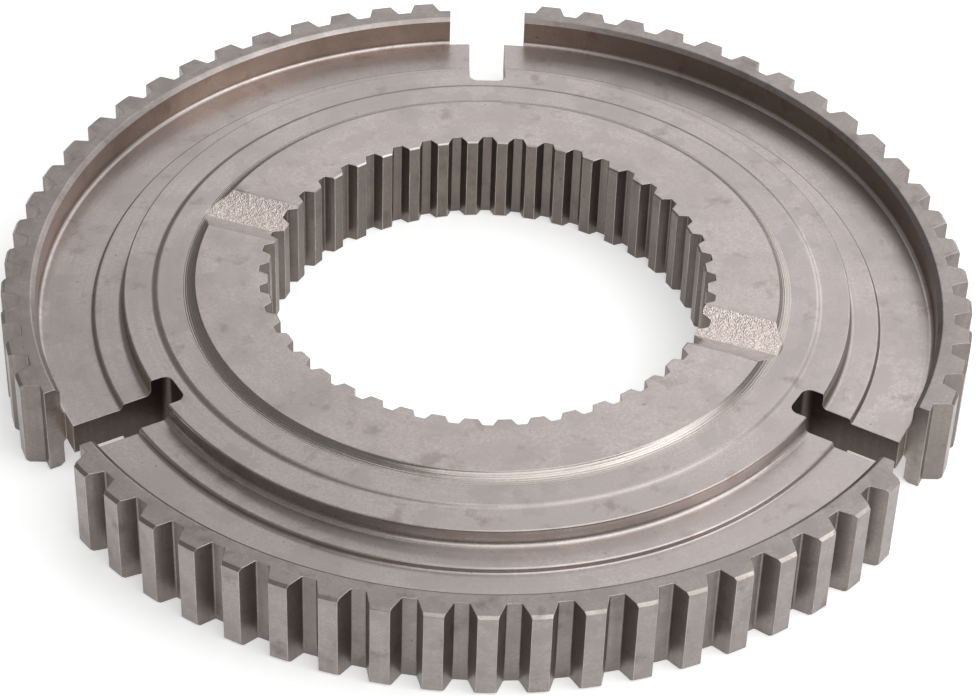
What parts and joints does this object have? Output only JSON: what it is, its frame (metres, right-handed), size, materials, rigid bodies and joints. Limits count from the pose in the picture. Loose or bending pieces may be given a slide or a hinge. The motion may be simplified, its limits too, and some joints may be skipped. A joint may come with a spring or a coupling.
{
  "type": "synchronizer hub",
  "caption": "Steel synchronizer hub: a round disc with an external spline in toothed arcs, slots for shifting plates, a recessed web and a splined bore.",
  "frame": {"origin": "on the bore axis, half way between the two end faces", "axes": "+Z along the bore axis towards the face with the oil scoops; one of the slots lies on +Y"},
  "size_m": [0.192, 0.1912, 0.0196],
  "materials": {
    "machined_steel": "fine turned, lightly oiled, with faint stains"
  },
  "bodies": {
    "root": {"synchronizer_hub": "machined_steel"}
  },
  "joints": []
}
